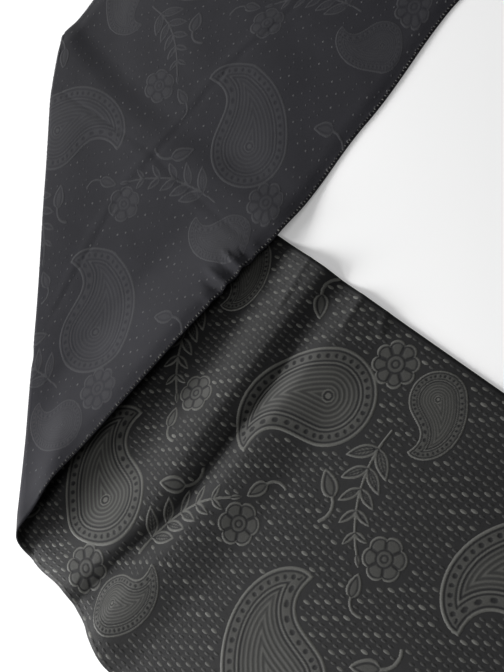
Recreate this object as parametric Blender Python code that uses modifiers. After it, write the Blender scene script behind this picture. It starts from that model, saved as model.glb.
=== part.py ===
"""A cut length of embossed furnishing cloth that lies on a table with one turn in it.

The near half lies face up and runs away from the viewer, along +Y. It turns over along a slanting
line at its far left, and the rest comes back over it as a flap that runs to the right, along +X,
back side up. Beside the flap's lifted edge the near half rises in a roll, and past that in a low
ridge. All of it is one sheet, so it is one solid.

The sheet is a grid in flat cloth coordinates. One is the run along the length, from the middle of
the turn, positive towards the near end. The other is the side step from the middle line, positive
to the right while the cloth is face up. The functions below place each point of that grid in the
folded shape, and Solidify gives it its thickness.

Units are metres, +Z is up, and the origin is on the table at the middle of the footprint.
"""

from collections import namedtuple
from math import cos, pi, radians, sin, tan

import bmesh
import bpy

# The cut and where it lies
WIDTH = 0.340
THICKNESS = 0.002
NEAR_LENGTH = 0.536
FLAP_LENGTH = 0.440
MIDDLE_LINE_X = -0.0887
TURN_MIDDLE_Y = 0.2032
TURN_ANGLE = radians(43.2)
FOOTPRINT_MIDDLE = (0.0559, 0.0293)

# How the turned layer lies on the near half
LAYER_GAP = 0.0012
LANDING = 0.090
STEP_DOWN = 0.034
EDGE_OVERHANG = 0.003
EDGE_LIFT_REACH = 0.085
EDGE_LIFT_START = 0.050

# How far the cloth's plan strays from a straight strip that is turned over on a straight line
CORNER_FLARE = 0.036
CORNER_FLARE_START = -0.02
CORNER_FLARE_LENGTH = 0.25
NEAR_FLARE_FADE = 0.16
FLAP_FLARE_FADE = 0.45
FLAP_SWING_START = 0.06
CORNER_PULL = 0.009
CORNER_PULL_START = 0.185
CORNER_PULL_LENGTH = 0.055
CORNER_PULL_FADE = 0.040
CORNER_ROUNDING = 0.010
CORNER_ROUNDING_START = 0.165
CORNER_ROUNDING_LENGTH = 0.085

Level = namedtuple("Level", "at value")
Ridge = namedtuple("Ridge", "crest rise fall left_height middle_height right_height")
Stretch = namedtuple("Stretch", "run skew steps")

# The radius of the turn, by the distance along its line from its middle
TURN_RADIUS = (
    Level(-0.24, 0.0105),
    Level(-0.12, 0.0055),
    Level(0.00, 0.0034),
    Level(0.12, 0.0034),
    Level(0.26, 0.0050),
)

# The flap's free edge, raised over the near half, by the place along +X
EDGE_LIFT = (
    Level(-0.26, 0.004),
    Level(-0.19, 0.013),
    Level(-0.12, 0.017),
    Level(-0.04, 0.016),
    Level(0.03, 0.012),
    Level(0.08, 0.006),
    Level(0.15, 0.000),
)

# How far the flap swings towards +Y off its straight course, by the place along +X
FLAP_SWING = (
    Level(-0.26, 0.002),
    Level(-0.20, 0.008),
    Level(-0.09, 0.008),
    Level(0.08, 0.010),
    Level(0.20, 0.021),
    Level(0.33, 0.034),
    Level(0.45, 0.047),
)

# How far the near half's left edge strays to the left, by the place along +Y
LEFT_EDGE_STRAY = (
    Level(-0.30, 0.000),
    Level(-0.13, 0.014),
    Level(-0.085, 0.012),
    Level(-0.045, 0.002),
    Level(-0.008, -0.004),
    Level(0.024, 0.000),
)

# The folds of the near half: a roll beside the flap, then a low ridge. A crest's place along +Y
# goes by the side step. Heights are of the sheet's middle over where it would lie flat, at the left
# edge, the middle line and the right edge.
ROLL_CREST = (Level(-0.17, -0.010), Level(-0.05, -0.027), Level(0.17, -0.018))
LOW_CREST = (Level(-0.17, -0.060), Level(-0.05, -0.069), Level(0.17, -0.064))
NEAR_RIDGES = (
    Ridge(ROLL_CREST, 0.050, 0.021, 0.006, 0.010, 0.008),
    Ridge(LOW_CREST, 0.024, 0.044, 0.009, 0.006, 0.003),
)

# The grid's cross lines, by their run on the middle line. They stand square to the edges with a
# skew of 0 and lie along the turn with a skew of 1.
STRETCHES = (
    Stretch(NEAR_LENGTH, 0.0, 7),
    Stretch(0.330, 0.0, 9),
    Stretch(0.262, 0.0, 20),
    Stretch(0.170, 0.2, 9),
    Stretch(0.014, 1.0, 12),
    Stretch(-0.024, 1.0, 14),
    Stretch(-0.200, 0.25, 12),
    Stretch(-FLAP_LENGTH, 0.0, 0),
)
ROWS_ACROSS = 26


def ease(share):
    """Go from 0 to 1 without a kink at either end."""
    share = min(max(share, 0.0), 1.0)
    return share * share * (3.0 - 2.0 * share)


def level(table, at):
    """Read a short table, easing from each row to the next and holding its ends."""
    if at <= table[0].at:
        return table[0].value
    for low, high in zip(table, table[1:]):
        if at < high.at:
            share = ease((at - low.at) / (high.at - low.at))
            return low.value + (high.value - low.value) * share
    return table[-1].value


def near_height(x, y):
    """The height of the near half's folds at a place on the table."""
    side = min(max(x - MIDDLE_LINE_X, -WIDTH / 2.0), WIDTH / 2.0)
    height = 0.0
    for ridge in NEAR_RIDGES:
        crest = level(ridge.crest, side)
        off = (y - crest) / (ridge.rise if y > crest else ridge.fall)
        if abs(off) >= 1.0:
            continue
        edge_height = ridge.left_height if side < 0.0 else ridge.right_height
        outward = ease(abs(side) / (WIDTH / 2.0))
        peak = ridge.middle_height + (edge_height - ridge.middle_height) * outward
        height += peak * 0.5 * (1.0 + cos(pi * off))
    return height


def place_near(x, y, flare):
    """Place a point of the near half, which lies face up."""
    left_share = min(max(0.5 - (x - MIDDLE_LINE_X) / WIDTH, 0.0), 1.0)
    height = near_height(x, y)
    x -= level(LEFT_EDGE_STRAY, y) * left_share * left_share
    return x + flare * cos(TURN_ANGLE), y + flare * sin(TURN_ANGLE), THICKNESS / 2.0 + height


def place_flap(ahead, along, side, radius, flare):
    """Place a point of the flap, which comes back over the near half."""
    x = MIDDLE_LINE_X + ahead * sin(TURN_ANGLE) + along * cos(TURN_ANGLE)
    y = TURN_MIDDLE_Y - ahead * cos(TURN_ANGLE) + along * sin(TURN_ANGLE)
    y += level(FLAP_SWING, x) * ease(ahead / FLAP_SWING_START)

    from_edge = (side + WIDTH / 2.0) / EDGE_LIFT_REACH
    lift = level(EDGE_LIFT, x) * (1.0 - ease(from_edge)) * ease(ahead / EDGE_LIFT_START)

    x += flare * cos(TURN_ANGLE)
    y += flare * sin(TURN_ANGLE)
    near_edge_x = MIDDLE_LINE_X + WIDTH / 2.0 + EDGE_OVERHANG
    near_edge_x += flare * cos(TURN_ANGLE) * (1.0 - ease(ahead / NEAR_FLARE_FADE))
    resting = (THICKNESS + LAYER_GAP) * (1.0 - ease((x - near_edge_x) / STEP_DOWN))
    landing = (2.0 * radius - THICKNESS - LAYER_GAP) * (1.0 - ease(ahead / LANDING))
    return x, y, THICKNESS / 2.0 + resting + landing + lift


def place(run, side):
    """Place a point of the flat cloth in the folded shape.

    Distances from the turn's line are positive on the side where the cloth lies.
    """
    x = MIDDLE_LINE_X + side
    y = TURN_MIDDLE_Y - run
    ahead = side * sin(TURN_ANGLE) + run * cos(TURN_ANGLE)
    along = side * cos(TURN_ANGLE) - run * sin(TURN_ANGLE)
    radius = level(TURN_RADIUS, along)
    rounding = CORNER_ROUNDING * ease((along - CORNER_ROUNDING_START) / CORNER_ROUNDING_LENGTH)
    flare = CORNER_FLARE * ease((along - CORNER_FLARE_START) / CORNER_FLARE_LENGTH)
    pull = CORNER_PULL * ease((along - CORNER_PULL_START) / CORNER_PULL_LENGTH)

    if ahead >= radius + rounding:
        inward = ahead - rounding - radius
        moved = flare * (1.0 - ease(inward / NEAR_FLARE_FADE))
        moved += pull * (1.0 - ease(inward / CORNER_PULL_FADE))
        x, y, z = place_near(x, y, moved)
    else:
        around = radius + rounding - ahead
        if around < pi * radius:
            turned = around / radius
            out = rounding + radius - radius * sin(turned)
            z = THICKNESS / 2.0 + radius - radius * cos(turned)
            moved = along + flare + pull
            x = MIDDLE_LINE_X + out * sin(TURN_ANGLE) + moved * cos(TURN_ANGLE)
            y = TURN_MIDDLE_Y - out * cos(TURN_ANGLE) + moved * sin(TURN_ANGLE)
        else:
            inward = around - pi * radius
            moved = flare * (1.0 - ease(inward / FLAP_FLARE_FADE))
            moved += pull * (1.0 - ease(inward / CORNER_PULL_FADE))
            x, y, z = place_flap(rounding + radius + inward, along, side, radius, moved)
    return x - FOOTPRINT_MIDDLE[0], y - FOOTPRINT_MIDDLE[1], z


def cross_lines():
    """List the run and the skew of every cross line, from the near end to the flap's end."""
    lines = []
    for here, there in zip(STRETCHES, STRETCHES[1:]):
        for step in range(here.steps):
            share = step / here.steps
            run = here.run + (there.run - here.run) * share
            skew = here.skew + (there.skew - here.skew) * share
            lines.append((run, skew))
    last = STRETCHES[-1]
    lines.append((last.run, last.skew))
    return lines


def cloth_material():
    """A near-black yarn with a soft shine."""
    material = bpy.data.materials.new("charcoal_yarn")
    material.use_nodes = True
    shader = material.node_tree.nodes["Principled BSDF"]
    shader.inputs["Base Color"].default_value = (0.045, 0.045, 0.048, 1.0)
    shader.inputs["Roughness"].default_value = 0.55
    shader.inputs["Metallic"].default_value = 0.0
    return material


def make_cloth(collection):
    """Make the folded cloth from one grid."""
    lines = cross_lines()
    columns = len(lines) - 1
    mesh = bpy.data.meshes.new("fabric_length")
    sheet = bmesh.new()
    bmesh.ops.create_grid(sheet, x_segments=columns, y_segments=ROWS_ACROSS, size=0.5)
    for vertex in sheet.verts:
        run, skew = lines[round((vertex.co.x + 0.5) * columns)]
        side = vertex.co.y * WIDTH
        run -= skew * side * tan(TURN_ANGLE)
        vertex.co = place(run, side)
    for face in sheet.faces:
        face.smooth = True
    sheet.to_mesh(mesh)
    sheet.free()

    cloth = bpy.data.objects.new("fabric_length", mesh)
    cloth.data.materials.append(cloth_material())
    collection.objects.link(cloth)
    solidify = cloth.modifiers.new("thickness", "SOLIDIFY")
    solidify.thickness = THICKNESS
    solidify.offset = 0.0
    solidify.use_even_offset = True
    return cloth


def main():
    """Clear the scene and make the cloth."""
    for thing in list(bpy.data.objects):
        bpy.data.objects.remove(thing, do_unlink=True)
    collection = bpy.data.collections.new("embossed_fabric")
    bpy.context.scene.collection.children.link(collection)
    make_cloth(collection)


main()
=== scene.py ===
"""Looks for a folded length of embossed furnishing cloth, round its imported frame.

The cloth is one sheet with one slanting turn in it. The near half lies face up, and the flap comes
back over it, back side up. Flat cloth coordinates are the length, measured along the cloth from
its near end, and the side step from its middle line. The woven figures and dashes are raised from
the sheet as fine meshes that follow its folds. Units are metres.
"""

import logging
from dataclasses import dataclass
from enum import Enum
from math import cos, pi, radians, sin, sqrt, tan

import bpy
import numpy as np
from mathutils import Matrix


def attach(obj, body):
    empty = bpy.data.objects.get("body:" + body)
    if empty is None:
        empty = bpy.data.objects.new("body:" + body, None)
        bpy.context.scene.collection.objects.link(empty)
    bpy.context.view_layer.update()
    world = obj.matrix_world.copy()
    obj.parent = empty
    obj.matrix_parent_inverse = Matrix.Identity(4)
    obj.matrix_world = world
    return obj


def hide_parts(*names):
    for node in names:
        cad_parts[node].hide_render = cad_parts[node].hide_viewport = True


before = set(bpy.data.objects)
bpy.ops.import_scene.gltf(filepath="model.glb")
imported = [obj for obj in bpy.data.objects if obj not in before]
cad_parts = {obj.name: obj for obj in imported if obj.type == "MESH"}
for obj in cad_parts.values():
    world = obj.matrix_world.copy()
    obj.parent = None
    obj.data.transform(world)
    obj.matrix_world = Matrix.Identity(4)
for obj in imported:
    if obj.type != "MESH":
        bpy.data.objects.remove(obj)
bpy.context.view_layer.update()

LOG = logging.getLogger("embossed_fabric")
MM = 0.001
NODE = "fabric_length"
BAKE_MAP = "OFBake"
# How flat cloth coordinates are scaled and moved onto the bake map, for raised pieces and for the
# sheet, how far the sheet's back is moved on, and the strip that takes its cut edges
RAISED_SPREAD = ((0.9, 2.7), (0.02, 0.5))
SHEET_SPREAD = ((0.9, 1.35), (0.02, 0.25))
BACK_SPREAD_SHIFT = 0.48
EDGE_STRIP = (0.975, 0.99)
WHITE = (1.0, 1.0, 1.0, 1.0)
Levels = tuple[tuple[float, float], ...]
Array = np.ndarray


def ease(share: Array) -> Array:
    """Go from 0 to 1 without a kink at either end."""
    share = np.clip(share, 0.0, 1.0)
    return share * share * (3.0 - 2.0 * share)


def fading(share: Array) -> Array:
    """Go from 1 to 0 without a kink at either end."""
    return 1.0 - ease(share)


def level(table: Levels, at: Array) -> Array:
    """Read a short table of places and values, easing from each row to the next.

    Args:
        table: Rows of a place and its value, places rising.
        at: The places to read.

    Returns:
        The values there, held beyond both ends.
    """
    places = np.array([row[0] for row in table])
    values = np.array([row[1] for row in table])
    row = np.clip(np.searchsorted(places, at, side="right") - 1, 0, len(places) - 2)
    share = ease((at - places[row]) / (places[row + 1] - places[row]))
    return values[row] + (values[row + 1] - values[row]) * share


def ripple(along: Array, across: Array, waves: int, longest: float, seed: int) -> Array:
    """Make smooth unevenness from a few crossing waves.

    Args:
        along: One coordinate.
        across: The other.
        waves: How many waves are summed.
        longest: The longest wavelength.
        seed: The seed of their directions and phases.

    Returns:
        Values of about -1 to 1.
    """
    chance = np.random.default_rng(seed)
    total = np.zeros(np.broadcast(along, across).shape)
    for number in range(waves):
        angle = chance.uniform(0.0, pi)
        wavelength = longest * chance.uniform(0.35, 1.0)
        phase = chance.uniform(0.0, 2.0 * pi)
        step = 2.0 * pi / wavelength
        total += np.sin(step * (along * cos(angle) + across * sin(angle)) + phase)
    return total / sqrt(waves)


def path_distance(first: Array, second: Array, path: Array) -> tuple[Array, Array]:
    """Measure points against an open or closed run of straight pieces.

    Args:
        first: The points' first coordinate.
        second: The points' second coordinate.
        path: The corners of the path, one row each.

    Returns:
        The distance to the path, and how far along it the nearest place lies.
    """
    nearest = np.full(first.shape, np.inf)
    travelled = np.zeros(first.shape)
    start = 0.0
    for here, there in zip(path[:-1], path[1:]):
        step = there - here
        size = float(np.hypot(*step))
        if size == 0.0:
            continue
        share = ((first - here[0]) * step[0] + (second - here[1]) * step[1]) / size**2
        share = np.clip(share, 0.0, 1.0)
        away = np.hypot(first - here[0] - share * step[0], second - here[1] - share * step[1])
        closer = away < nearest
        nearest = np.where(closer, away, nearest)
        travelled = np.where(closer, start + share * size, travelled)
        start += size
    return nearest, travelled


def depth_inside(first: Array, second: Array, outline: Array) -> tuple[Array, Array]:
    """Measure how deep points lie inside a closed outline.

    Args:
        first: The points' first coordinate.
        second: The points' second coordinate.
        outline: The outline's corners, the last equal to the first.

    Returns:
        The depth, negative outside, and the place along the outline that is nearest.
    """
    away, travelled = path_distance(first, second, outline)
    inside = np.zeros(first.shape, dtype=bool)
    for here, there in zip(outline[:-1], outline[1:]):
        if here[1] == there[1]:
            continue
        crosses = (second < here[1]) != (second < there[1])
        at = here[0] + (second - here[1]) * (there[0] - here[0]) / (there[1] - here[1])
        inside ^= crosses & (first < at)
    return np.where(inside, away, -away), travelled


def curve(heading: Array, stride: float) -> Array:
    """Walk from the origin in equal strides, one heading a stride."""
    path = np.cumsum(np.stack([np.cos(heading), np.sin(heading)], -1) * stride, axis=0)
    return path - path[0]


def blade(
    first: Array, second: Array, length: float, breadth: float, fullness: float, steepness: float
) -> Array:
    """Measure the depth inside a leaf blade that grows from the origin.

    Args:
        first: The points' coordinate along the blade.
        second: Their coordinate across it.
        length: The blade's length.
        breadth: Half its greatest breadth.
        fullness: How round its ends are, rounder below 1.
        steepness: How fast the depth grows inwards.

    Returns:
        The depth, negative outside.
    """
    along = first / length
    held = np.clip(along, 0.0, 1.0)
    edge = breadth * np.sin(pi * held**fullness) ** fullness
    beyond = np.abs(along - held) * length
    inside = (edge - np.abs(second)) * steepness
    return np.where(beyond > 0.0, -np.hypot(beyond, second), inside)


def on_axes(first: Array, second: Array, angle: float) -> tuple[Array, Array]:
    """Give coordinates on axes that are turned by an angle."""
    ahead = first * cos(angle) + second * sin(angle)
    return ahead, second * cos(angle) - first * sin(angle)


def overlay(under: tuple[Array, ...], over: tuple[Array, ...]) -> tuple[Array, ...]:
    """Lay one set of depth and other values over another, where it is the deeper one."""
    deeper = over[0] > under[0]
    return tuple(np.where(deeper, upper, lower) for lower, upper in zip(under, over))


@dataclass(frozen=True)
class Rise:
    """An amount that comes in softly over a stretch."""

    amount: float
    start: float
    length: float

    def at(self, place: Array) -> Array:
        """Give the amount at some places."""
        return self.amount * ease((place - self.start) / self.length)


@dataclass(frozen=True)
class Fold:
    """A long soft fold of the near half, by its crest and how far it reaches to both sides."""

    crest: Levels
    rise: float
    fall: float
    left_height: float
    middle_height: float
    right_height: float

    def height(self, side: Array, half_width: float, y: Array) -> Array:
        """Give the fold's height.

        Args:
            side: The side step from the middle line.
            half_width: The side step of the cloth's edges.
            y: The place along +Y.

        Returns:
            The height of the sheet over where it would lie flat.
        """
        crest = level(self.crest, side)
        off = (y - crest) / np.where(y > crest, self.rise, self.fall)
        edge_height = np.where(side < 0.0, self.left_height, self.right_height)
        outward = ease(np.abs(side) / half_width)
        peak = self.middle_height + (edge_height - self.middle_height) * outward
        return np.where(np.abs(off) < 1.0, peak * 0.5 * (1.0 + np.cos(pi * off)), 0.0)


@dataclass(frozen=True)
class Crease:
    """A pressed line in the sheet.

    Its path is a run of (run, side) corners in metres. Its height towards the face side, its
    breadth and the length of its faded ends are in millimetres.
    """

    path: tuple[tuple[float, float], ...]
    height: float
    breadth: float
    fade: float

    def lift(self, run: Array, side: Array) -> Array:
        """Give how far the crease lifts the sheet along its face side.

        Args:
            run: The distance from the turn's middle, positive towards the near end.
            side: The side step from the middle line.

        Returns:
            The lift, below zero for a trough.
        """
        path = np.array(self.path)
        total = float(np.hypot(*np.diff(path, axis=0).T).sum())
        away, travelled = path_distance(run, side, path)
        fade = self.fade * MM
        ends = ease((travelled + 0.3 * fade) / fade) * ease((total - travelled + 0.3 * fade) / fade)
        return self.height * MM * np.exp(-((away / MM / self.breadth) ** 2)) * ends


# The creases' paths, in corners of run and side
STORAGE_LINE = ((-0.40, -0.04), (-0.32, -0.034), (-0.219, -0.022), (-0.111, -0.017), (0.015, -0.04))
STORAGE_PUFF = ((-0.40, -0.03), (-0.32, -0.027), (-0.219, -0.015), (-0.111, -0.010), (0.0, -0.03))
CROSS_LINE = ((-0.132, 0.135), (-0.134, 0.122), (-0.159, -0.010), (-0.163, -0.150))
CROSS_PUFF = ((-0.126, 0.135), (-0.128, 0.122), (-0.152, -0.010), (-0.156, -0.150))
SOFT_HOLLOW = ((0.045, -0.040), (0.034, -0.055), (0.001, -0.103), (-0.032, -0.149))
ROLL_FRONT = ((0.219, -0.170), (0.228, -0.118), (0.242, -0.050), (0.241, 0.029), (0.238, 0.109))
ROLL_FOOT = ((0.229, -0.170), (0.237, -0.118), (0.250, -0.050), (0.248, 0.029), (0.245, 0.109))
# The crumple at the flap's free edge: the side step where its lines start, then each line's run
# there, its inner end, its height, its breadth and its fade
CRUMPLE_START = -0.190
CRUMPLE = (
    (-0.111, (-0.103, -0.155), -1.6, 2.3, 16),
    (-0.119, (-0.113, -0.149), 2.2, 2.2, 16),
    (-0.127, (-0.123, -0.141), -2.8, 2.3, 18),
    (-0.135, (-0.133, -0.147), 2.5, 2.1, 16),
    (-0.143, (-0.143, -0.143), -2.8, 2.2, 18),
    (-0.151, (-0.153, -0.153), 1.9, 2.2, 14),
    (-0.159, (-0.163, -0.157), -1.5, 2.4, 12),
)
CREASES = (
    # The pressed line along the flap from its storage fold, with the puffed cloth beside it
    Crease(STORAGE_LINE, 0.35, 1.5, 40),
    Crease(STORAGE_PUFF, -0.3, 4.0, 40),
    # The pressed line across the flap, and the soft hollow low on it
    Crease(CROSS_LINE, 0.3, 1.6, 30),
    Crease(CROSS_PUFF, -0.25, 3.6, 30),
    Crease(SOFT_HOLLOW, 1.2, 8.0, 30),
    *(Crease(((run, CRUMPLE_START), end), *size) for run, end, *size in CRUMPLE),
    # The steep front of the roll, and the pinched line at its foot
    Crease(ROLL_FRONT, 1.5, 5.0, 60),
    Crease(ROLL_FOOT, -1.2, 2.4, 40),
    # Drag lines that run out of the roll at the near half's right edge
    Crease(((0.205, 0.172), (0.213, 0.120)), 0.9, 2.6, 12),
    Crease(((0.262, 0.172), (0.268, 0.135)), 1.0, 3.0, 10),
    Crease(((0.285, 0.172), (0.296, 0.150)), 0.9, 2.6, 8),
)


@dataclass
class ClothShape:
    """The cut and the way it lies, in the sizes of its solid."""

    width: float = 0.340
    middle_x: float = -0.0887
    turn_y: float = 0.2032
    turn_angle: float = radians(43.2)
    footprint_middle: tuple[float, float] = (0.0559, 0.0293)
    solid_thickness: float = 0.002
    thickness: float = 0.0014

    layer_gap: float = 0.0012
    landing: float = 0.090
    step_down: float = 0.034
    edge_overhang: float = 0.003
    edge_lift_reach: float = 0.085
    edge_lift_start: float = 0.050

    corner_flare: Rise = Rise(0.036, -0.02, 0.25)
    near_flare_fade: float = 0.16
    flap_flare_fade: float = 0.45
    corner_pull: Rise = Rise(0.009, 0.185, 0.055)
    corner_pull_fade: float = 0.040
    corner_rounding: Rise = Rise(0.010, 0.165, 0.085)
    flap_swing_start: float = 0.06

    turn_radius: Levels = (
        (-0.24, 0.0105),
        (-0.12, 0.0055),
        (0.00, 0.0034),
        (0.12, 0.0034),
        (0.26, 0.0050),
    )
    edge_lift: Levels = (
        (-0.26, 0.004),
        (-0.19, 0.013),
        (-0.12, 0.017),
        (-0.04, 0.016),
        (0.03, 0.012),
        (0.08, 0.006),
        (0.15, 0.000),
    )
    flap_swing: Levels = (
        (-0.26, 0.002),
        (-0.20, 0.008),
        (-0.09, 0.008),
        (0.08, 0.010),
        (0.20, 0.021),
        (0.33, 0.034),
        (0.45, 0.047),
    )
    left_stray: Levels = (
        (-0.30, 0.000),
        (-0.13, 0.014),
        (-0.085, 0.012),
        (-0.045, 0.002),
        (-0.008, -0.004),
        (0.024, 0.000),
    )
    folds: tuple[Fold, ...] = (
        Fold(((-0.17, -0.010), (-0.05, -0.027), (0.17, -0.018)), 0.050, 0.021, 0.006, 0.010, 0.008),
        Fold(((-0.17, -0.060), (-0.05, -0.069), (0.17, -0.064)), 0.024, 0.044, 0.009, 0.006, 0.003),
    )
    creases: tuple[Crease, ...] = CREASES
    table_bumps: float = 0.8 * MM
    flap_bumps: float = 0.8 * MM
    edge_roll: float = 1.2 * MM
    edge_reach: float = 0.014
    # How many waves the unevenness has, the longest of them and the seed
    table_waves: tuple[int, float, int] = (9, 0.15, 4)
    flap_waves: tuple[int, float, int] = (9, 0.12, 11)
    flap_waves_start: float = 0.10

    def __post_init__(self) -> None:
        """Work out the direction of the turn's line."""
        self.turn_cos = cos(self.turn_angle)
        self.turn_sin = sin(self.turn_angle)

    def from_turn(self, ahead: Array, along: Array) -> tuple[Array, Array]:
        """Give places on the table by their distance in from the turn's line and along it."""
        x = self.middle_x + ahead * self.turn_sin + along * self.turn_cos
        return x, self.turn_y - ahead * self.turn_cos + along * self.turn_sin

    def place_near(self, x: Array, y: Array, flare: Array) -> Array:
        """Place points of the near half, which lies face up.

        Args:
            x: Where they would lie on a straight strip.
            y: The same along +Y.
            flare: How far the edge's flare moves them along the turn.

        Returns:
            The places of the sheet's middle, three numbers a point.
        """
        half = self.width / 2.0
        side = np.clip(x - self.middle_x, -half, half)
        height = sum(fold.height(side, half, y) for fold in self.folds)
        x = x - level(self.left_stray, y) * (0.5 - side / self.width) ** 2
        x = x + flare * self.turn_cos
        y = y + flare * self.turn_sin
        return np.stack([x, y, height], -1)

    def place_flap(
        self, ahead: Array, along: Array, side: Array, radius: Array, flare: Array
    ) -> Array:
        """Place points of the flap, which comes back over the near half.

        Args:
            ahead: The distance in from the turn's line.
            along: The distance along it.
            side: The side step in the flat cloth.
            radius: The turn's radius there.
            flare: How far the edge's flare moves them along the turn.

        Returns:
            The places of the sheet's middle, three numbers a point.
        """
        x, y = self.from_turn(ahead, along)
        y = y + level(self.flap_swing, x) * ease(ahead / self.flap_swing_start)

        from_edge = (side + self.width / 2.0) / self.edge_lift_reach
        lift = level(self.edge_lift, x) * fading(from_edge)
        lift = lift * ease(ahead / self.edge_lift_start)

        x = x + flare * self.turn_cos
        y = y + flare * self.turn_sin
        near_edge = self.middle_x + self.width / 2.0 + self.edge_overhang
        near_fade = fading(ahead / self.near_flare_fade)
        near_edge = near_edge + flare * self.turn_cos * near_fade
        layers = self.solid_thickness + self.layer_gap
        resting = layers * fading((x - near_edge) / self.step_down)
        landing = (2.0 * radius - layers) * fading(ahead / self.landing)
        return np.stack([x, y, resting + landing + lift], -1)

    def place(self, run: Array, side: Array) -> Array:
        """Place points of the flat cloth in the folded shape.

        Args:
            run: The distance from the turn's middle, positive towards the near end.
            side: The side step from the middle line.

        Returns:
            The places of the sheet's middle, three numbers a point.
        """
        ahead = side * self.turn_sin + run * self.turn_cos
        along = side * self.turn_cos - run * self.turn_sin
        radius = level(self.turn_radius, along)
        rounding = self.corner_rounding.at(along)
        flare = self.corner_flare.at(along)
        pull = self.corner_pull.at(along)
        around = radius + rounding - ahead

        moved = flare * fading(-around / self.near_flare_fade)
        moved = moved + pull * fading(-around / self.corner_pull_fade)
        near = self.place_near(self.middle_x + side, self.turn_y - run, moved)

        turned = np.clip(around / radius, 0.0, pi)
        out = rounding + radius - radius * np.sin(turned)
        x, y = self.from_turn(out, along + flare + pull)
        turn = np.stack([x, y, radius - radius * np.cos(turned)], -1)

        inward = around - pi * radius
        moved = flare * fading(inward / self.flap_flare_fade)
        moved = moved + pull * fading(inward / self.corner_pull_fade)
        flap = self.place_flap(rounding + radius + inward, along, side, radius, moved)

        placed = np.where((around >= pi * radius)[..., None], flap, turn)
        placed = np.where((around <= 0.0)[..., None], near, placed)
        placed[..., :2] -= self.footprint_middle
        placed[..., 2] += self.thickness / 2.0
        return placed

    def bumps(self, placed: Array, run: Array, side: Array) -> Array:
        """Give the slight unevenness of cloth that was never pressed flat.

        Args:
            placed: The places of the sheet's middle.
            run: The distance from the turn's middle.
            side: The side step from the middle line.

        Returns:
            A lift of each place, which both layers share where they lie over each other.
        """
        table = 0.5 + ripple(placed[..., 0], placed[..., 1], *self.table_waves) / 4.0
        flap = 0.5 + ripple(run, side, *self.flap_waves) / 4.0
        inward = ease((self.width / 2.0 - np.abs(side)) / self.edge_reach)
        turned = ease(-run / self.flap_waves_start)
        lift = self.table_bumps * np.clip(table, 0.0, 1.0) + self.edge_roll * inward
        return lift + self.flap_bumps * np.clip(flap, 0.0, 1.0) * turned * inward


@dataclass
class ClothGrid:
    """The sheet as a grid of cross lines, near end first, with its face and back surfaces."""

    shape: ClothShape
    rows: int = 104
    stretches: tuple[tuple[float, float, int], ...] = (
        (0.536, 0.0, 52),
        (0.330, 0.0, 26),
        (0.262, 0.0, 56),
        (0.170, 0.2, 50),
        (0.014, 1.0, 36),
        (-0.024, 1.0, 108),
        (-0.200, 0.25, 60),
        (-0.440, 0.0, 0),
    )

    def __post_init__(self) -> None:
        """Work out the grid's surfaces."""
        runs: list[float] = []
        skews: list[float] = []
        for here, there in zip(self.stretches, self.stretches[1:]):
            share = np.arange(here[2]) / here[2]
            runs.extend(here[0] + (there[0] - here[0]) * share)
            skews.extend(here[1] + (there[1] - here[1]) * share)
        runs.append(self.stretches[-1][0])
        skews.append(self.stretches[-1][1])
        self.side = np.linspace(-0.5, 0.5, self.rows + 1) * self.shape.width
        lean = np.outer(skews, self.side) * tan(self.shape.turn_angle)
        run = np.array(runs)[:, None] - lean
        sides = np.broadcast_to(self.side, run.shape)
        middle = self.shape.place(run, sides)
        middle[..., 2] += self.shape.bumps(middle, run, sides)
        normal = self.normals(middle)
        lift = sum(crease.lift(run, sides) for crease in self.shape.creases)
        middle = middle + normal * lift[..., None]
        middle[..., 2] = np.maximum(middle[..., 2], self.shape.thickness / 2.0)
        steps = np.linalg.norm(np.diff(middle, axis=0), axis=-1)
        self.length = np.concatenate([np.zeros((1, self.rows + 1)), np.cumsum(steps, axis=0)])
        self.normal = self.normals(middle)
        self.face = middle + self.normal * self.shape.thickness / 2.0
        self.back = middle - self.normal * self.shape.thickness / 2.0

    @staticmethod
    def normals(points: Array) -> Array:
        """Give the unit normals on the face side of a grid of points, cross line by cross line."""
        normal = np.cross(np.gradient(points, axis=1), np.gradient(points, axis=0))
        return normal / np.linalg.norm(normal, axis=-1, keepdims=True)


class Side(Enum):
    """The cloth's two sides."""

    FACE = "face"
    BACK = "back"


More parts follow.
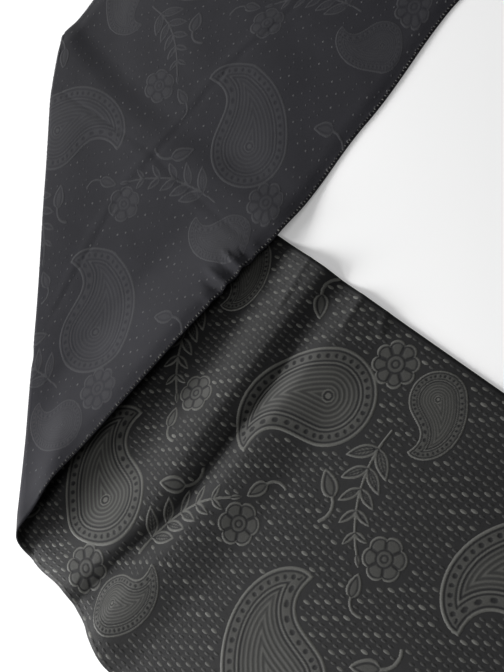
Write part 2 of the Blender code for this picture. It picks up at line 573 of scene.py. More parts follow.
@dataclass
class ClothLattice:
    """Even steps over the flat cloth, with the places of both sides of the folded sheet."""

    grid: ClothGrid
    step: float
    start: float
    end: float

    def __post_init__(self) -> None:
        """Read the grid at even steps of the length and of the side step."""
        end = min(self.end, float(self.grid.length[-1].min()))
        self.length = np.arange(self.start, end, self.step)
        half = self.grid.shape.width / 2.0
        self.side = np.linspace(-half, half, int(round(2.0 * half / self.step)) + 1)
        rows = len(self.grid.side)
        held = np.concatenate([self.grid.face, self.grid.back, self.grid.normal], -1)
        by_row = np.empty((len(self.length), rows, held.shape[-1]))
        for row in range(rows):
            places = self.grid.length[:, row]
            for part in range(held.shape[-1]):
                by_row[:, row, part] = np.interp(self.length, places, held[:, row, part])
        at = (self.side + half) / (2.0 * half) * (rows - 1)
        low = np.clip(at.astype(int), 0, rows - 2)
        share = (at - low)[None, :, None]
        values = by_row[:, low] * (1.0 - share) + by_row[:, low + 1] * share
        self.surface = {Side.FACE: values[..., 0:3], Side.BACK: values[..., 3:6]}
        self.normal = values[..., 6:9] / np.linalg.norm(values[..., 6:9], axis=-1, keepdims=True)

    def outward(self, side: Side) -> Array:
        """Give the unit normals that point away from the cloth on one side."""
        return self.normal if side is Side.FACE else -self.normal

    def nearest(self, table: Array, length: Array, side: Array) -> Array:
        """Read a table that has a value for each lattice point.

        Args:
            table: The table.
            length: The length of the places where it is read, in the flat cloth.
            side: Their side step.

        Returns:
            The values at the lattice points next to them.
        """
        row = np.clip(np.searchsorted(self.length, length), 0, len(self.length) - 1)
        column = np.clip(np.searchsorted(self.side, side), 0, len(self.side) - 1)
        return table[row, column]

    def lifted(self, side: Side, length: Array, step: Array, lift: Array) -> Array:
        """Place points over one side of the cloth.

        Args:
            side: The side they stand on.
            length: Their length in the flat cloth.
            step: Their side step in the flat cloth.
            lift: Their height over the surface.

        Returns:
            Their places, three numbers a point.
        """
        at_length = np.clip((length - self.start) / self.step, 0.0, len(self.length) - 1.001)
        at_side = (step - self.side[0]) / (self.side[1] - self.side[0])
        at_side = np.clip(at_side, 0.0, len(self.side) - 1.001)
        row = at_length.astype(int)
        column = at_side.astype(int)
        down = (at_length - row)[..., None]
        over = (at_side - column)[..., None]
        held = np.concatenate([self.surface[side], self.outward(side)], -1)
        near = held[row, column] * (1.0 - over) + held[row, column + 1] * over
        far = held[row + 1, column] * (1.0 - over) + held[row + 1, column + 1] * over
        values = near * (1.0 - down) + far * down
        return values[..., 0:3] + values[..., 3:6] * lift[..., None]


@dataclass(frozen=True)
class Weave:
    """How high and how light the yarn lies at each depth inside a figure's outline, in mm."""

    depths: tuple[float, ...]
    heights: tuple[float, ...]
    tones: tuple[float, ...]

    def read(self, depth: Array) -> tuple[Array, Array]:
        """Give the heights in mm and the tones at depths in mm."""
        heights = np.interp(depth, self.depths, self.heights)
        return heights, np.interp(depth, self.depths, self.tones)


# The light cords along each outline are partly the figures' own lighter yarn and partly painted
# highlights on their raised rims
BANDED = Weave(
    depths=(-1.2, 0.0, 0.5, 1.1, 2.2, 2.7, 3.5, 4.0, 10.0, 10.5, 11.2, 11.7, 12.9, 13.4, 14.2, 14.8),
    heights=(
        *(-0.3, -0.02, 0.36, 0.46, 0.42, 0.12, 0.12, 0.36),
        *(0.36, 0.12, 0.12, 0.42, 0.42, 0.12, 0.12, 0.3),
    ),
    tones=(0.4, 0.66, 0.82, 0.86, 0.78, 0.2, 0.2, 0.64, 0.68, 0.2, 0.2, 0.78, 0.78, 0.2, 0.2, 0.6),
)
# Here too the light cords are partly lighter yarn and partly painted highlights on the raised rims
CORDED = Weave(
    depths=(-1.2, 0.0, 0.4, 0.9, 1.7, 2.1, 2.7, 3.1),
    heights=(-0.3, -0.02, 0.34, 0.42, 0.38, 0.14, 0.14, 0.32),
    tones=(0.4, 0.64, 0.78, 0.82, 0.76, 0.26, 0.26, 0.64),
)


@dataclass(frozen=True)
class Figure:
    """One woven motif, in its own coordinates of mm, placed on the flat cloth in metres."""

    length: float
    side: float
    turn: float
    size: float
    mirrored: bool = False
    reach: float = 60.0

    def local(self, length: Array, side: Array) -> tuple[Array, Array]:
        """Turn flat cloth coordinates into the figure's own.

        Args:
            length: The points' length in the flat cloth.
            side: Their side step.

        Returns:
            Their two coordinates in the figure, in mm.
        """
        ahead = (length - self.length) / MM / self.size
        beside = (side - self.side) / MM / self.size
        first, second = on_axes(ahead, beside, self.turn)
        return first, -second if self.mirrored else second

    def measure(self, first: Array, second: Array) -> tuple[Array, ...]:
        """Measure points against the figure.

        Args:
            first: The points' first coordinate in mm, before the figure's size is applied.
            second: Their second coordinate.

        Returns:
            The depth inside the outline in mm, below zero outside, the height in mm and the tone.
        """
        raise NotImplementedError


@dataclass(frozen=True)
class Paisley(Figure):
    """A bent drop with a corded rim, a studded band and a combed middle, in sizes of mm."""

    base_radius: float = 37.0
    spine_length: float = 92.0
    bend: float = 2.1
    steps: int = 30
    base_steps: int = 24
    centre: float = 0.28
    stud_pitch: float = 7.6
    stud_depth: float = 7.0
    stud_radius: float = 1.7
    comb_start: float = 14.8
    comb_pitch: float = 3.6
    eye_radius: float = 5.0
    eye_ring: float = 3.0

    def outline(self) -> Array:
        """Draw the drop's outline.

        Returns:
            Its corners, the last equal to the first.
        """
        share = np.linspace(0.0, 1.0, self.steps)
        heading = self.bend * share**1.7
        spine = curve(heading, self.spine_length / (self.steps - 1))
        breadth = self.base_radius * (1.0 - share**1.35) ** 0.8
        normal = np.stack([-np.sin(heading), np.cos(heading)], -1)
        left = spine + normal * breadth[:, None]
        right = spine - normal * breadth[:, None]
        around = np.linspace(-pi / 2.0, -1.5 * pi, self.base_steps)[1:-1]
        base = np.stack([np.cos(around), np.sin(around)], -1) * self.base_radius
        ring = np.concatenate([left[:-1], right[::-1], base, left[:1]])
        return ring - np.array([self.spine_length * self.centre, 0.0])

    def studs(self, travelled: Array, depth: Array) -> Array:
        """Mark the round studs along the band, 1 in a stud and 0 outside."""
        off = np.abs((travelled / self.stud_pitch) % 1.0 - 0.5) * self.stud_pitch
        return ease((self.stud_radius - np.hypot(off, depth - self.stud_depth)) / 0.7 + 0.5)

    def measure(self, first: Array, second: Array) -> tuple[Array, ...]:
        """Measure points against the drop.

        Args:
            first: Their first coordinate.
            second: Their second coordinate.

        Returns:
            The depth, the height and the tone.
        """
        depth, travelled = depth_inside(first, second, self.outline())
        height, tone = BANDED.read(depth)
        mark = self.studs(travelled, depth)
        height = height - 0.22 * mark
        tone = tone * (1.0 - 0.8 * mark)
        inner = ease((depth - self.comb_start) / 0.8)
        comb = np.sin(2.0 * pi * depth / self.comb_pitch)
        height = height + inner * 0.10 * comb
        tone = tone + inner * 0.15 * comb
        away = np.hypot(first + self.spine_length * self.centre, second)
        ring = ease((1.6 - np.abs(away - self.eye_ring)) / 0.6 - 1.0)
        tone = np.where(ease((self.eye_radius - away) / 0.8) > 0.0, 0.85 - 0.6 * ring, tone)
        return depth, height, tone


@dataclass(frozen=True)
class Rosette(Figure):
    """A round flower of rounded petals round a ringed centre."""

    petals: int = 8
    radius: float = 17.0
    reach: float = 20.0
    seam_start: float = 6.5
    ring_radius: float = 6.2
    pip_radius: float = 2.6

    def measure(self, first: Array, second: Array) -> tuple[Array, ...]:
        """Measure points against the flower.

        Args:
            first: Their first coordinate.
            second: Their second coordinate.

        Returns:
            The depth, the height and the tone.
        """
        away = np.hypot(first, second)
        angle = np.arctan2(second, first)
        lobe = np.abs(np.cos(angle * self.petals / 2.0))
        depth = self.radius * (0.78 + 0.22 * np.sqrt(lobe)) - away
        height, tone = CORDED.read(depth)
        gap = away * np.abs(np.sin(angle * self.petals / 2.0 + pi / 2.0)) / self.petals * 2.0
        seam = ease(1.6 - gap) * ease(away - self.seam_start) * ease(depth - 1.0)
        rings = ease(1.5 - np.abs(away - self.ring_radius) * 1.6)
        rings = rings + ease(1.4 - np.abs(away - self.pip_radius) * 1.6)
        dark = np.clip(seam + rings, 0.0, 1.0)
        return depth, height - 0.2 * dark, tone * (1.0 - 0.75 * dark)


@dataclass(frozen=True)
class LeafSpray(Figure):
    """A curved stem with veined leaves to both sides and one at its end."""

    pairs: int = 5
    stem_length: float = 104.0
    stem_steps: int = 13
    bow: float = 0.9
    leaf_length: float = 31.0
    leaf_breadth: float = 13.0
    leaf_spread: float = 0.85
    shrink: float = 0.055
    vein_pitch: float = 3.4
    reach: float = 75.0

    def leaf(self, first: Array, second: Array, scale: float) -> tuple[Array, ...]:
        """Measure one leaf that grows from the origin along the first coordinate.

        Args:
            first: The points' coordinate along the leaf.
            second: Their coordinate across it.
            scale: The leaf's size, 1 for the plain one.

        Returns:
            The depth inside it, and how strongly its middle vein and its side veins show.
        """
        length = self.leaf_length * scale
        depth = blade(first, second, length, self.leaf_breadth * scale * 0.5, 0.8, 0.9)
        vein = ease(1.3 - np.abs(second) * 1.7) * ease((0.9 - first / length) * 8.0)
        slanted = np.sin(2.0 * pi * (first - 1.1 * np.abs(second)) / self.vein_pitch)
        return depth, vein, slanted

    def measure(self, first: Array, second: Array) -> tuple[Array, ...]:
        """Measure points against the spray.

        Args:
            first: Their first coordinate.
            second: Their second coordinate.

        Returns:
            The depth, the height and the tone.
        """
        first = first + self.stem_length * 0.5
        heading = self.bow * (np.linspace(0.0, 1.0, self.stem_steps) - 0.5)
        stem = curve(heading, self.stem_length / (self.stem_steps - 1))
        away, _ = path_distance(first, second, stem)
        spray = (1.0 - away, *CORDED.read(1.0 - away + 0.4))
        for number in range(2 * self.pairs + 1):
            at = 2 + (number // 2) * 2
            spread = self.leaf_spread if number % 2 else -self.leaf_spread
            way = heading[at] + (0.0 if number == 2 * self.pairs else spread)
            own = on_axes(first - stem[at][0], second - stem[at][1], way)
            depth, vein, slanted = self.leaf(*own, 1.0 - self.shrink * at)
            height, tone = CORDED.read(depth)
            inner = ease((depth - 2.0) / 0.6)
            height = height + inner * 0.06 * slanted - 0.15 * vein
            tone = (tone + inner * 0.15 * slanted) * (1.0 - 0.7 * vein)
            spray = overlay(spray, (depth, height, tone))
        return spray


@dataclass(frozen=True)
class Bud(Figure):
    """A small drop on a short curled stem."""

    reach: float = 22.0
    drop_length: float = 15.0
    drop_breadth: float = 4.6
    curl_radius: float = 9.0

    def measure(self, first: Array, second: Array) -> tuple[Array, ...]:
        """Measure points against the bud.

        Args:
            first: Their first coordinate.
            second: Their second coordinate.

        Returns:
            The depth, the height and the tone.
        """
        angle = np.linspace(0.0, 1.6, 7)
        curl = self.curl_radius
        stem = np.stack([curl * np.sin(angle), curl * np.cos(angle) - curl], -1)
        away, _ = path_distance(first, second, -stem)
        drop = blade(first, second, self.drop_length, self.drop_breadth, 0.7, 1.0)
        depth = np.maximum(drop, 0.9 - away)
        height, tone = CORDED.read(depth + 0.2)
        return depth, height, tone


@dataclass(frozen=True)
class HalfDrop:
    """The repeat: the same cell of figures in each column, every other column half a cell on."""

    cell_length: float = 0.212
    cell_width: float = 0.170
    first_length: float = -0.05

    def figures(self, total: float) -> list[Figure]:
        """List every figure on a cloth of a given length.

        Args:
            total: The length of the cloth.

        Returns:
            The figures, in flat cloth coordinates.
        """
        listed: list[Figure] = []
        for column, side in enumerate((-self.cell_width / 2.0, self.cell_width / 2.0)):
            start = self.first_length + column * self.cell_length / 2.0
            for cell in range(-1, int(total / self.cell_length) + 3):
                at = start + cell * self.cell_length
                listed.extend(self.cell(at, side, column == 1))
        return listed

    @staticmethod
    def cell(at: float, side: float, flip: bool) -> list[Figure]:
        """List the figures of one cell.

        Args:
            at: The length of the cell's middle, in the flat cloth.
            side: Its side step.
            flip: Whether the cell is mirrored.

        Returns:
            The figures.
        """
        hand = -1.0 if flip else 1.0
        return [
            Paisley(at, side + hand * 0.006, hand * 0.45, 1.06, flip, 110.0),
            Paisley(at + 0.104, side - hand * 0.044, hand * 2.5, 0.60, not flip, 110.0),
            Rosette(at - 0.052, side - hand * 0.056, 0.2, 1.15),
            Rosette(at + 0.074, side + hand * 0.060, 0.5, 1.0, petals=6),
            LeafSpray(at + 0.112, side + hand * 0.030, hand * 1.95, 0.92, flip),
            Bud(at + 0.036, side - hand * 0.066, hand * 2.2, 1.4, flip),
            Bud(at - 0.078, side + hand * 0.050, hand * -0.6, 1.5, flip),
            Bud(at - 0.030, side + hand * 0.074, hand * 1.2, 1.2, flip),
        ]


@dataclass
class Pattern:
    """The woven figures on even steps of the flat cloth: depth and height in mm, and tone."""

    length: Array
    side: Array
    figures: list[Figure]
    margin: float = 3.0
    outside: float = -50.0

    def __post_init__(self) -> None:
        """Read every figure where it lies."""
        shape = (len(self.length), len(self.side))
        self.depth = np.full(shape, self.outside)
        self.height = np.zeros(shape)
        self.tone = np.zeros(shape)
        for figure in self.figures:
            reach = (figure.reach * figure.size + self.margin) * MM
            rows = np.nonzero(np.abs(self.length - figure.length) < reach)[0]
            columns = np.nonzero(np.abs(self.side - figure.side) < reach)[0]
            if len(rows) == 0 or len(columns) == 0:
                continue
            box = (slice(rows[0], rows[-1] + 1), slice(columns[0], columns[-1] + 1))
            length, side = np.meshgrid(self.length[box[0]], self.side[box[1]], indexing="ij")
            depth, height, tone = figure.measure(*figure.local(length, side))
            tables = (self.depth, self.height, self.tone)
            under = tuple(table[box] for table in tables)
            for table, values in zip(tables, overlay(under, (depth * figure.size, height, tone))):
                table[box] = values


class Socket:
    """One output of a shader node, with arithmetic that adds Math nodes."""

    def __init__(self, tree: "Finish", output: bpy.types.NodeSocket) -> None:
        """Hold the output and the finish that it belongs to."""
        self.tree = tree
        self.output = output

    def math(self, operation: str, *others: "Socket | float") -> "Socket":
        """Add a Math node with this value first."""
        values = {number: value for number, value in enumerate((self, *others))}
        return self.tree.node("ShaderNodeMath", {"operation": operation}, values)

    def __add__(self, other: "Socket | float") -> "Socket":
        """Add."""
        return self.math("ADD", other)

    __radd__ = __add__

    def __mul__(self, other: "Socket | float") -> "Socket":
        """Multiply."""
        return self.math("MULTIPLY", other)

    __rmul__ = __mul__

    def __sub__(self, other: "Socket | float") -> "Socket":
        """Subtract."""
        return self.math("SUBTRACT", other)

    def __rsub__(self, other: float) -> "Socket":
        """Subtract this from a number."""
        return (self * -1.0) + other

    def sine(self) -> "Socket":
        """Take the sine."""
        return self.math("SINE")


class Finish:
    """A material under construction: one Principled shader and the nodes that feed it."""

    def __init__(self, name: str, constants: dict[str, object]) -> None:
        """Start the material.

        Args:
            name: The material's name.
            constants: The shader's own values that are the same all over.
        """
        self.material = bpy.data.materials.new(name)
        self.material.use_nodes = True
        self.tree = self.material.node_tree
        self.shader = self.tree.nodes["Principled BSDF"]
        for key, value in constants.items():
            self.shader.inputs[key].default_value = value

    def node(
        self, kind: str, settings: dict[str, object], values: dict, output: "str | int" = 0
    ) -> Socket:
        """Add a node.

        Args:
            kind: The node's type.
            settings: Its settings, set first.
            values: Values or sockets for its inputs, by name or number.
            output: The output to give back.

        Returns:
            That output.
        """
        made = self.tree.nodes.new(kind)
        for key, value in settings.items():
            if key == "stops":
                self.set_stops(made, value)
            else:
                setattr(made, key, value)
        for key, value in values.items():
            if isinstance(value, Socket):
                self.tree.links.new(value.output, made.inputs[key])
            else:
                made.inputs[key].default_value = value
        return Socket(self, made.outputs[output])

    @staticmethod
    def set_stops(ramp: bpy.types.Node, stops: tuple[tuple[float, tuple], ...]) -> None:
        """Set a colour ramp's stops.

        Args:
            ramp: The ramp's node.
            stops: Each stop's place and colour.
        """
        elements = ramp.color_ramp.elements
        while len(elements) < len(stops):
            elements.new(1.0)
        for element, (position, colour) in zip(elements, stops):
            element.position = position
            element.color = (*colour, 1.0)

    def flat(self) -> Socket:
        """Read the flat cloth coordinates."""
        return self.node("ShaderNodeAttribute", {"attribute_name": "flat"}, {}, "Vector")

    def value(self, name: str) -> Socket:
        """Read a number that the mesh holds at its points."""
        return self.node("ShaderNodeAttribute", {"attribute_name": name}, {}, "Fac")

    def part(self, vector: Socket, axis: int) -> Socket:
        """Take one coordinate of a vector."""
        return self.node("ShaderNodeSeparateXYZ", {}, {0: vector}, axis)

    def noise(self, vector: Socket, scale: float, detail: float) -> Socket:
        """Add noise of about 0 to 1 with a given number of grains a metre."""
        values = {"Vector": vector, "Scale": scale, "Detail": detail, "Roughness": 0.55}
        return self.node("ShaderNodeTexNoise", {"noise_dimensions": "3D"}, values, "Fac")

    def ramp(self, factor: Socket, stops: tuple[tuple[float, tuple], ...]) -> Socket:
        """Turn a number into a colour by its stops."""
        return self.node("ShaderNodeValToRGB", {"stops": stops}, {0: factor}, "Color")

    def tint(self, colour: Socket, amount: Socket) -> Socket:
        """Multiply a colour by a number."""
        grey = self.node("ShaderNodeCombineXYZ", {}, {0: amount, 1: amount, 2: amount})
        return self.node("ShaderNodeVectorMath", {"operation": "MULTIPLY"}, {0: colour, 1: grey})

    def feed(self, name: str, value: Socket) -> None:
        """Link a varying value to one of the shader's inputs."""
        self.tree.links.new(value.output, self.shader.inputs[name])

    def bump(self, height: Socket, distance: float, strength: float) -> None:
        """Feed the shader's normal from a height."""
        values = {"Strength": strength, "Distance": distance, "Height": height}
        self.feed("Normal", self.node("ShaderNodeBump", {}, values, "Normal"))


@dataclass(frozen=True)
class YarnFinish:
    """A woven yarn surface: its colours by tone, its weave and its shine."""

    name: str
    stops: tuple[tuple[float, tuple[float, float, float]], ...]
    rib_pitch: float = 1.15 * MM
    pick_pitch: float = 0.85 * MM
    roughness: float = 0.64
    gloss: float = 0.22
    specular: float = 0.27
    sheen: float = 0.012
    sheen_roughness: float = 0.45
    sheen_tint: tuple[float, ...] = (0.75, 0.78, 0.85, 1.0)
    weave_depth: float = 0.05 * MM
    weave_strength: float = 0.7
    # Painted sheen: how strongly blotches a few centimetres across lighten and darken the base
    # colour, standing in for the satin's uneven shine
    sheen_mottle: float = 0.34
    blotches_a_metre: float = 38.0
    grains_a_metre: float = 820.0
    grain_shade: float = 0.5
    weave_shade: float = 0.08
    grain_roughness: float = 0.14
    grain_height: float = 1.2

    def build(self) -> bpy.types.Material:
        """Make the material.

        Returns:
            The material, which reads the flat cloth coordinates and the tone from its mesh.
        """
        finish = Finish(
            self.name,
            {
                "Metallic": 0.0,
                "Specular IOR Level": self.specular,
                "Sheen Weight": self.sheen,
                "Sheen Roughness": self.sheen_roughness,
                "Sheen Tint": self.sheen_tint,
            },
        )
        flat = finish.flat()
        length = finish.part(flat, 0)
        side = finish.part(flat, 1)
        tone = finish.value("tone")
        warp = (side * (2.0 * pi / self.rib_pitch)).sine()
        weft = (length * (2.0 * pi / self.pick_pitch)).sine()
        weave = warp * weft
        # The blotch noise paints sheen into the base colour: lighter and darker patches that stand
        # in for the satin's uneven shine
        sheen_blotch = finish.noise(flat, self.blotches_a_metre, 2.0)
        grain = finish.noise(flat, self.grains_a_metre, 1.0)
        shade = (sheen_blotch - 0.5) * self.sheen_mottle + (grain - 0.5) * self.grain_shade
        shade = shade + weave * self.weave_shade + 1.0
        colour = finish.ramp(tone, self.stops)
        finish.feed("Base Color", finish.tint(colour, shade))
        rough = (grain - 0.5) * self.grain_roughness + self.roughness
        finish.feed("Roughness", rough - tone * self.gloss)
        finish.bump(weave + grain * self.grain_height, self.weave_depth, self.weave_strength)
        return finish.material


FACE_YARN = YarnFinish(
    name="face_yarn",
    stops=(
        (0.0, (0.0052, 0.0052, 0.0056)),
        (0.30, (0.0108, 0.0108, 0.0114)),
        # The upper stops, which the figures read, are partly the lighter figure yarn and partly
        # painted satin sheen
        (0.60, (0.040, 0.040, 0.0372)),
        (0.85, (0.098, 0.098, 0.0900)),
        (1.0, (0.150, 0.150, 0.1380)),
    ),
)
BACK_YARN = YarnFinish(
    name="back_yarn",
    stops=(
        (0.0, (0.0122, 0.0121, 0.0160)),
        (0.30, (0.0198, 0.0196, 0.0244)),
        (0.60, (0.0290, 0.0288, 0.0338)),
        (0.85, (0.048, 0.048, 0.0520)),
        (1.0, (0.084, 0.084, 0.0880)),
    ),
    specular=0.15,
    roughness=0.66,
    gloss=0.05,
)


def make_mesh(
    name: str,
    points: Array,
    faces: list[Array],
    flat: Array,
    tone: Array,
    materials: list[bpy.types.Material],
    face_materials: "Array | None" = None,
    spread: "Array | None" = None,
) -> bpy.types.Object:
    """Make an object from arrays.

    Args:
        name: The object's name.
        points: Its points, three numbers each.
        faces: Arrays of faces, each with faces of one number of corners.
        flat: The flat cloth coordinates of the points.
        tone: How light the yarn is at the points, 0 to 1.
        materials: The object's materials.
        face_materials: The material's number for each face, where there is more than one.
        spread: The places of the faces' corners on the bake map, where the flat cloth won't do.

    Returns:
        The object, linked to the scene.
    """
    mesh = bpy.data.meshes.new(name)
    corners = np.concatenate([group.ravel() for group in faces]).astype(np.int32)
    sizes = np.concatenate([np.full(len(group), group.shape[1]) for group in faces])
    starts = np.concatenate([[0], np.cumsum(sizes)[:-1]]).astype(np.int32)
    mesh.vertices.add(len(points))
    mesh.vertices.foreach_set("co", points.astype(np.float32).ravel())
    mesh.loops.add(len(corners))
    mesh.loops.foreach_set("vertex_index", corners)
    mesh.polygons.add(len(sizes))
    mesh.polygons.foreach_set("loop_start", starts)
    mesh.update(calc_edges=True)
    flat_held = mesh.attributes.new("flat", "FLOAT_VECTOR", "POINT")
    flat_places = np.column_stack([flat, np.zeros(len(flat))]).astype(np.float32)
    flat_held.data.foreach_set("vector", flat_places.ravel())
    tone_held = mesh.attributes.new("tone", "FLOAT", "POINT")
    tone_held.data.foreach_set("value", tone.astype(np.float32))
    if spread is None:
        spread = flat[corners] * RAISED_SPREAD[0] + RAISED_SPREAD[1]
    layer = mesh.uv_layers.new(name=BAKE_MAP, do_init=False)
    layer.uv.foreach_set("vector", spread.astype(np.float32).ravel())
    for material in materials:
        mesh.materials.append(material)
    if face_materials is not None:
        mesh.polygons.foreach_set("material_index", face_materials.astype(np.int32))
    mesh.shade_smooth()
    mesh.validate()
    made = bpy.data.objects.new(name, mesh)
    bpy.context.scene.collection.objects.link(made)
    return made


@dataclass
class BaseSheet:
    """The plain cloth itself, face, back and cut edges."""

    grid: ClothGrid
    ground_tone: float = 0.30

    def build(self) -> bpy.types.Object:
        """Make the sheet as one closed mesh.

        Returns:
            The object.
        """
        columns, rows = self.grid.length.shape
        count = columns * rows
        number = np.arange(count).reshape(columns, rows)
        quads = np.stack([number[:-1, :-1], number[:-1, 1:], number[1:, 1:], number[1:, :-1]], -1)
        quads = quads.reshape(-1, 4)
        rim = np.concatenate([number[:-1, 0], number[-1, :-1], number[:0:-1, -1], number[0, :0:-1]])
        after = np.roll(rim, -1)
        walls = np.stack([rim, after, after + count, rim + count], -1)
        points = np.concatenate([self.grid.face.reshape(-1, 3), self.grid.back.reshape(-1, 3)])
        sides = np.broadcast_to(self.grid.side, self.grid.length.shape)
        flat = np.stack([self.grid.length, sides], -1).reshape(-1, 2)
        flat = np.concatenate([flat, flat])
        tone = np.full(len(points), self.ground_tone)
        materials = [FACE_YARN.build(), BACK_YARN.build()]
        which = np.concatenate([np.zeros(len(quads)), np.ones(len(quads)), np.ones(len(walls))])
        layers = np.concatenate([quads, quads[:, ::-1] + count])
        spread = flat[layers] * SHEET_SPREAD[0] + SHEET_SPREAD[1]
        spread[len(quads) :, :, 1] += BACK_SPREAD_SHIFT
        along = np.arange(len(rim))[:, None] + np.array([0.05, 0.95, 0.95, 0.05])
        across = np.broadcast_to(np.repeat(EDGE_STRIP, 2), along.shape)
        strip = np.stack([along / len(rim), across], -1)
        spread = np.concatenate([spread, strip]).reshape(-1, 2)
        faces = [np.concatenate([layers, walls])]
        sheet = make_mesh("cloth_sheet", points, faces, flat, tone, materials, which, spread)
        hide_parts(NODE)
        return sheet


@dataclass(frozen=True)
class Relief:
    """How strongly one side of the cloth shows the woven figures, and from where to where."""

    side: Side
    start: float
    end: float
    step: float
    height: float
    tone_low: float
    tone_span: float
    sink: float = 0.12 * MM


@dataclass
class WovenFigures:
    """The figures of one side of the cloth, raised from the sheet as one fine skin."""

    name: str
    grid: ClothGrid
    relief: Relief
    figures: list[Figure]
    seen_slope: float = -0.4
    seen_height: float = 1.1 * MM
    border_steps: float = 1.1

    def __post_init__(self) -> None:
        """Lay the figures out on this side's lattice, and note where it doesn't face the table."""
        self.lattice = ClothLattice(self.grid, self.relief.step, self.relief.start, self.relief.end)
        self.pattern = Pattern(self.lattice.length, self.lattice.side, self.figures)
        upward = self.lattice.outward(self.relief.side)[..., 2]
        height = self.lattice.surface[self.relief.side][..., 2]
        self.seen = (upward > self.seen_slope) & (height > self.seen_height)

    def build(self, material: bpy.types.Material) -> bpy.types.Object:
        """Make the skin.

        Args:
            material: The yarn that it is woven in.

        Returns:
            The object.
        """
        step = self.relief.step / MM
        outward = self.lattice.outward(self.relief.side)
        surface = self.lattice.surface[self.relief.side]
        kept = (self.pattern.depth > -self.border_steps * step) & self.seen
        quads = kept[:-1, :-1] & kept[1:, :-1] & kept[:-1, 1:] & kept[1:, 1:]
        row, column = np.nonzero(quads)
        number = np.arange(kept.size).reshape(kept.shape)
        steps = ((0, 0), (1, 0), (1, 1), (0, 1))
        corners = [number[row + down, column + over] for down, over in steps]
        if self.relief.side is Side.FACE:
            corners.reverse()
        faces = np.stack(corners, -1)
        used, faces = np.unique(faces, return_inverse=True)
        height = self.pattern.height.ravel()[used] * self.relief.height * MM
        height = np.where(self.pattern.depth.ravel()[used] < 0.0, -self.relief.sink, height)
        points = surface.reshape(-1, 3)[used] + outward.reshape(-1, 3)[used] * height[:, None]
        tone = self.relief.tone_low + self.relief.tone_span * self.pattern.tone.ravel()[used]
        length, side = np.meshgrid(self.lattice.length, self.lattice.side, indexing="ij")
        flat = np.stack([length.ravel()[used], side.ravel()[used]], -1)
        LOG.info("%s: %d quads", self.name, len(row))
        return make_mesh(self.name, points, [faces.reshape(-1, 4)], flat, tone, [material])


@dataclass(frozen=True)
class YarnFloat:
    """A short float of yarn that stands out of the weave as a small pillow."""

    long: float
    broad: float
    raised: float
    slant: float = 0.0
    corners: int = 8
    sink: float = 0.10 * MM
    shoulder: float = 0.62
    top_gain: float = 1.2
    broad_growth: float = 0.6

    def raise_all(
        self,
        name: str,
        figures: WovenFigures,
        places: Array,
        growth: Array,
        tone: Array,
        material: bpy.types.Material,
    ) -> bpy.types.Object:
        """Make many floats as one mesh.

        Args:
            name: The object's name.
            figures: The figures of the side that the floats stand on.
            places: Their lengths and side steps in the flat cloth, one row each.
            growth: How much longer each is than the plain size.
            tone: How light each is.
            material: The yarn that they are woven in.

        Returns:
            The object.
        """
        lattice = figures.lattice
        side = figures.relief.side
        angle = np.arange(self.corners) * 2.0 * pi / self.corners
        rings = ((1.0, -self.sink), (self.shoulder, self.raised))
        points = []
        flats = []
        for scale, lift in rings:
            along = np.cos(angle)[None, :] * self.long / 2.0 * scale * growth[:, None]
            beside = np.sin(angle)[None, :] * self.broad / 2.0 * scale
            beside = beside * growth[:, None] ** self.broad_growth
            length = places[:, :1] + along * cos(self.slant) - beside * sin(self.slant)
            step = places[:, 1:] + along * sin(self.slant) + beside * cos(self.slant)
            points.append(lattice.lifted(side, length, step, np.full(length.shape, lift)))
            flats.append(np.stack([length, step], -1))
        top_lift = np.full((len(places), 1), self.raised * self.top_gain)
        points.append(lattice.lifted(side, places[:, :1], places[:, 1:], top_lift))
        flats.append(places[:, None, :])
        points = np.concatenate(points, axis=1)
        flats = np.concatenate(flats, axis=1)

        here = np.arange(self.corners)
        after = np.roll(here, -1)
        skirt = np.stack([here, after, after + self.corners, here + self.corners], -1)
        top = np.full(self.corners, 2 * self.corners)
        crown = np.stack([here + self.corners, after + self.corners, top], -1)
        if side is Side.FACE:
            skirt = skirt[:, ::-1]
            crown = crown[:, ::-1]
        base = np.arange(len(places))[:, None, None] * points.shape[1]
        faces = [(skirt[None] + base).reshape(-1, 4), (crown[None] + base).reshape(-1, 3)]
        tones = np.repeat(tone, points.shape[1])
        LOG.info("%s: %d floats", name, len(places))
        points = points.reshape(-1, 3)
        return make_mesh(name, points, faces, flats.reshape(-1, 2), tones, [material])


